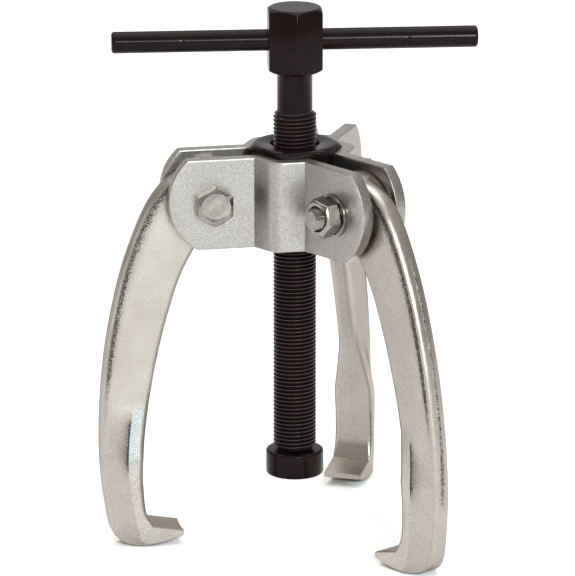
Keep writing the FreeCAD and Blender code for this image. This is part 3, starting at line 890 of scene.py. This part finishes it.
def section(inner, outer, flange, half_in, half_out, round_in, round_out):
    """Half of one section of the arm as (distance across, lateral offset, role) points, from the middle of
    the inner face round to the middle of the outer one. role says which mark a point gets."""
    span = math.dist(inner, outer)
    round_in = min(round_in, span * 0.25)
    round_out = min(round_out, span * 0.25, half_out * 0.8)
    flange = min(max(flange, round_in + 0.05), span - round_out - 0.1)
    slope_end = min(flange + SLOPE_DEPTH, span - round_out - 0.05)
    flat = half_in - round_in
    half = [(0.0, 0.0, "inner"), (0.0, flat * 0.3, ""), (0.0, flat * 0.65, ""), (0.0, flat, "")]
    for a in (22.5, 45, 67.5, 90):
        a = math.radians(a)
        role = "bevel" if 0.7 < a < 1.5 else ""
        half.append((round_in * (1 - math.cos(a)), half_in - round_in + round_in * math.sin(a), role))
    for t in (0.08, 0.36, 0.64, 0.92):
        half.append((round_in + (flange - round_in) * t, half_in, "flange"))
    half.append((flange, half_in, "valley"))
    for t in (0.04, 0.1, 0.25, 0.5, 0.75, 0.93, 1.0):
        half.append((flange + (slope_end - flange) * t, half_in + (half_out - half_in) * t, "slope"))
    half.append(((slope_end + span - round_out) / 2, half_out, ""))
    for a in (0, 22.5, 45, 67.5, 90):
        a = math.radians(a)
        half.append((span - round_out * (1 - math.sin(a)), half_out - round_out * (1 - math.cos(a)),
                     "corner" if a < 0.5 else ""))
    face = half_out - round_out
    half += [(span + 0.05, face * 0.7, ""), (span + 0.07, face * 0.35, "flash"), (span + CROWN, 0.0, "flash")]
    return half


def arm_stations():
    """Every section of the arm from the boss to the hook's tip, as listed for HOOK_STATIONS."""
    outer = smooth_path(OUTER_EDGE, MAIN_STATIONS)
    inner = smooth_path(INNER_EDGE, MAIN_STATIONS)
    stations = []
    for a, b in zip(inner[:-1], outer[:-1]):
        flare = fade(a[1], FLARE)
        ease = flare * flare * (3 - 2 * flare)
        step = fade(a[1], FLANGE_STEP)
        half_in = WEB_HALF_WIDTH + (HOOK_HALF_WIDTH - WEB_HALF_WIDTH) * flare
        half_out = WEB_HALF_WIDTH - 0.6 * ease
        flange = FLANGE_DEPTH + 1.5 * step * (1 - fade(a[1], FLANGE_END))
        stations.append((tuple(a), tuple(b), flange, half_in, half_out, 2.3 - 0.4 * step, 2.5 - 1.3 * ease))
    return stations + HOOK_STATIONS


def arm_marks(role, z, past_flange, patch_brightness):
    """How much dark speckled mark (forging scale on the middle line, painted shade elsewhere), smooth painted
    shade, brighter patch and cream one point of the arm gets.
    """
    upper = 1 - fade(z, CORNER_PAINTED_SHADE_END)
    trimmed = fade(z, TRIMMED_SCALE) * (1 - fade(z, FLANGE_END))
    valley = fade(z, VALLEY_PAINTED_SHADE) * (1 - fade(z, VALLEY_PAINTED_SHADE_END))
    near = valley * max(1 - past_flange / SLOPE_MARK_WIDTH, 0.0)
    low_bevel = 1.0 if z < BEVEL_PAINTED_SHADE_TOP else 0.0
    # corner, valley, slope and low bevel marks are painted shade; flash and inner marks are forging scale
    dark_mark_share = {"corner": upper, "bevel": low_bevel, "flash": trimmed, "inner": trimmed, "valley": valley,
                   "slope": near}
    shade_share = {"corner": upper, "bevel": fade(z, BEVEL_SHADE), "valley": valley, "slope": near}
    patch = fade(z, PATCH) * (1 - fade(z, PATCH_END))
    return {
        "scale_and_painted_shade": SCALE_AND_PAINTED_SHADE.get(role, 0.0) * dark_mark_share.get(role, 0.0),
        "bright_patch": patch_brightness * patch if role == "flange" else 0.0,
        "cream": fade(z, CREAM) if role in ("flange", "valley") else 0.0,
        "shade": SHADE.get(role, 0.0) * shade_share.get(role, 0.0),
    }


def make_arm(name, azimuth, swing, lean, patch_brightness):
    """Forged arm with boss, bore and hook. The last argument is how bright the patch on its flange is."""
    stations = arm_stations()
    vertices = []
    marks = {"scale_and_painted_shade": [], "bright_patch": [], "cream": [], "shade": []}
    for a, b, flange, half_in, half_out, round_in, round_out in stations:
        half = section(a, b, flange, half_in, half_out, round_in, round_out)
        loop = half + [(v, -y, role) for v, y, role in half[-2:0:-1]]
        direction = (np.array(b) - np.array(a)) / math.dist(a, b)
        for v, y, role in loop:
            x, height = np.array(a) + direction * v
            vertices.append((x, y, height))
            for label, value in arm_marks(role, a[1], v - flange, patch_brightness).items():
                marks[label].append(value)
    count = len(loop)
    rows = len(stations)
    faces = grid_faces(rows, count)
    faces.append(tuple(range(count)))
    faces.append(tuple(range((rows - 1) * count, rows * count)))
    arm = new_object("arm_" + name + "_forging", vertices, faces, 30.0, marks)
    on_side = Matrix.Rotation(math.radians(-90), 4, "X")
    boss_profile = [(0, -BOSS_HALF_WIDTH), (BOSS_RADIUS, -BOSS_HALF_WIDTH, 1),
                    (BOSS_RADIUS, BOSS_HALF_WIDTH, 1), (0, BOSS_HALF_WIDTH)]
    cut(arm, turned("boss", boss_profile, 0.9, 96, on_side), "UNION")
    tip = HOOK_TIP_ARC_RADIUS
    hollow = turned("hollow", [(0, -150), (tip, -150), (tip, -100), (0, -100)], 0, 256,
                    Matrix.Translation((-PIVOT_RADIUS * MM, 0, 0)))
    cut(arm, hollow)
    arm.data.transform(Matrix.Rotation(math.radians(lean), 4, "X"))
    bore = turned("bore", [(0, -20), (ARM_BORE_RADIUS, -20), (ARM_BORE_RADIUS, 20), (0, 20)], 0, 64, on_side)
    cut(arm, bore)
    arm.data.transform(Matrix.Rotation(math.radians(azimuth), 4, "Z")
                       @ Matrix.Translation((PIVOT_RADIUS * MM, 0, PIVOT_HEIGHT * MM))
                       @ Matrix.Rotation(math.radians(-swing), 4, "Y"))
    tidy_mesh(arm.data, 30.0)
    return arm


for side, arm in ARMS.items():
    piece = make_arm(side, arm["azimuth"], arm["swing"], arm["lean"], arm["patch_brightness"])
    place_piece(piece, "arm_" + side, "forged_arm", ARM_ZINC, "arm_" + side)

# ---- floor, light and camera -----------------------------------------------------

FLOOR_SIZE = 6.0                     # metres
FLOOR_STEPS = 24
LIGHTS_AIM_HEIGHT = 0.08             # metres
CAMERA_AZIMUTH = 11.661              # degrees from +Y towards +X
CAMERA_ELEVATION = 15.994
CAMERA_LENS = 320.64
CAMERA_PLACE = (-0.3718, -1.7883, 0.5951)

def hook_bottom(side):
    """The lowest point of an arm's hook, in the middle of its underside."""
    obj = bpy.data.objects["arm_" + side + "_forging"]
    lowest = min(v.co.z for v in obj.data.vertices)
    near = [v.co for v in obj.data.vertices if v.co.z < lowest + 0.0008]
    centre = sum(near, Vector()) / len(near)
    return Vector((centre.x, centre.y, lowest - 0.0002))


def make_floor():
    """A pale floor through the undersides of the three hooks."""
    a, b, c = (hook_bottom(side) for side in ARMS)
    normal = (b - a).cross(c - a).normalized()
    if normal.z < 0:
        normal = -normal
    size, steps = FLOOR_SIZE, FLOOR_STEPS
    vertices = []
    for i in range(steps + 1):
        for j in range(steps + 1):
            x = (i / steps - 0.5) * size
            y = (j / steps - 0.5) * size
            z = a.z - (normal.x * (x - a.x) + normal.y * (y - a.y)) / normal.z
            vertices.append((x / MM, y / MM, z / MM))
    floor = new_object("studio_floor", vertices, grid_faces(steps + 1, steps + 1, False))
    floor.data.materials.append(floor_material())


def area_light(name, azimuth, elevation, distance, size, power, colour=(1.0, 1.0, 1.0)):
    """A soft box that looks at the object from a direction, in degrees, metres and watts."""
    light = bpy.data.lights.new(name, "AREA")
    light.shape = "RECTANGLE"
    light.size, light.size_y = size
    light.energy = power
    light.color = colour
    obj = bpy.data.objects.new(name, light)
    a, e = math.radians(azimuth), math.radians(elevation)
    target = Vector((0, 0, LIGHTS_AIM_HEIGHT))
    direction = Vector((math.cos(a) * math.cos(e), math.sin(a) * math.cos(e), math.sin(e)))
    obj.location = target + distance * direction
    obj.rotation_euler = (target - obj.location).to_track_quat("-Z", "Y").to_euler()
    bpy.context.scene.collection.objects.link(obj)


def make_world():
    """Pale studio surroundings, darker to the left and to the right."""
    world = bpy.data.worlds.new("studio")
    world.use_nodes = True
    tree = world.node_tree
    background = tree.nodes["Background"]
    place = tree.nodes.new("ShaderNodeTexCoord")
    axes = tree.nodes.new("ShaderNodeSeparateXYZ")
    tree.links.new(place.outputs["Generated"], axes.inputs["Vector"])
    side = remap(tree, axes.outputs["X"], -1.0, 1.0, 0.0, 1.0)
    dim = (0.52, 0.51, 0.50)
    colour = ramp(tree, side, [(0.0, dim), (0.5, (0.90, 0.895, 0.885)), (1.0, dim)])
    tree.links.new(colour, background.inputs["Color"])
    background.inputs["Strength"].default_value = 0.9
    bpy.context.scene.world = world


def make_camera():
    """The long lens that the photograph was taken with, at its place and angle."""
    camera = bpy.data.cameras.new("camera")
    camera.sensor_fit = "HORIZONTAL"
    camera.sensor_width = 36.0
    camera.lens = CAMERA_LENS
    camera.clip_start, camera.clip_end = 0.05, 20.0
    obj = bpy.data.objects.new("camera", camera)
    azimuth, elevation = math.radians(CAMERA_AZIMUTH), math.radians(CAMERA_ELEVATION)
    forward = Vector((math.sin(azimuth) * math.cos(elevation), math.cos(azimuth) * math.cos(elevation),
                      -math.sin(elevation)))
    obj.location = CAMERA_PLACE
    obj.rotation_euler = forward.to_track_quat("-Z", "Y").to_euler()
    bpy.context.scene.collection.objects.link(obj)
    bpy.context.scene.camera = obj


make_floor()
make_world()
make_camera()
area_light("key", 277, 22, 1.5, (0.06, 0.06), 15, (0.84, 1.0, 0.98))
area_light("front", 266, 23, 1.7, (0.45, 0.08), 7)
area_light("overhead", 90, 80, 1.6, (1.8, 1.8), 24)
area_light("fill_left", 180, 5, 1.3, (0.06, 0.7), 1.6)
bpy.context.scene.view_settings.view_transform = "Standard"
